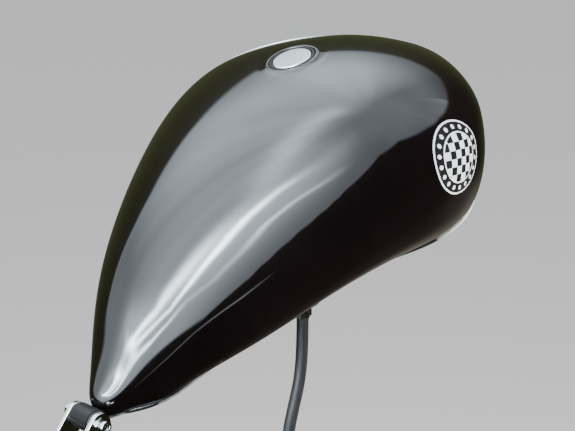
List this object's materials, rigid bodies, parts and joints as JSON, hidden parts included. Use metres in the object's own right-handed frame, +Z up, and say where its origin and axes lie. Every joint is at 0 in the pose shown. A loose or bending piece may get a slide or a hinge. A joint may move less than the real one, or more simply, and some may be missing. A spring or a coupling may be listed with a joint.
{
  "type": "motorcycle fuel tank",
  "caption": "Teardrop motorcycle fuel tank with a backbone tunnel, pop-up filler cap, rubber front ears, rear clevis bracket, fuel tap and hose.",
  "frame": {"origin": "centre of the front mount, midway between its two ears, on the axis of their bores", "axes": "+X forward, +Y left, +Z up, as mounted on a level bike, with the backbone rising forward at 22 degrees"},
  "size_m": [0.5514, 0.3974, 0.5006],
  "materials": {
    "gloss_black": "deep gloss black paint under clear coat, polished",
    "pan_black": "gloss black paint, plainer underneath",
    "polished": "polished aluminium, brushed in circles",
    "chrome": "bright chrome plating",
    "steel": "zinc-plated steel",
    "rubber": "moulded black rubber",
    "brass": "turned brass",
    "hose": "black hose with a braided cover",
    "satin_black": "satin black paint"
  },
  "bodies": {
    "tank": {"tank_shell": "gloss_black", "tank_bottom": "pan_black", "backbone_tunnel": "pan_black", "filler_neck": "gloss_black", "neck_rim": "gloss_black", "front_ears": "pan_black", "front_grommets": "rubber", "front_sleeves": "steel", "rear_eye": "satin_black", "rear_bush": "rubber", "rear_sleeve": "steel", "rear_bracket": "chrome", "rear_bolt": "chrome", "rear_washers": "chrome", "rear_nut": "chrome", "tap_bung": "pan_black", "tap_nut": "chrome", "tap_body": "chrome", "fuel_hose": "hose", "hose_clamp": "steel", "hose_end": "brass", "end_clamp": "steel"},
    "cap": {"cap_body": "satin_black", "cap_seal": "rubber"},
    "knob": {"cap_knob": "polished"},
    "lever": {"tap_lever": "chrome"}
  },
  "joints": [
    {"name": "cap_lift", "type": "slide", "parent": "tank", "child": "cap", "axis": [-0.3746, 0, 0.9272], "range_m": [0, 0.06]},
    {"name": "knob_pop", "type": "slide", "parent": "cap", "child": "knob", "axis": [-0.3746, 0, 0.9272], "range_m": [0, 0.01]},
    {"name": "lever_turn", "type": "hinge", "parent": "tank", "child": "lever", "pos_m": [-0.2394, -0.05, -0.09618], "axis": [0, -1, 0], "range_deg": [-90, 90]}
  ]
}
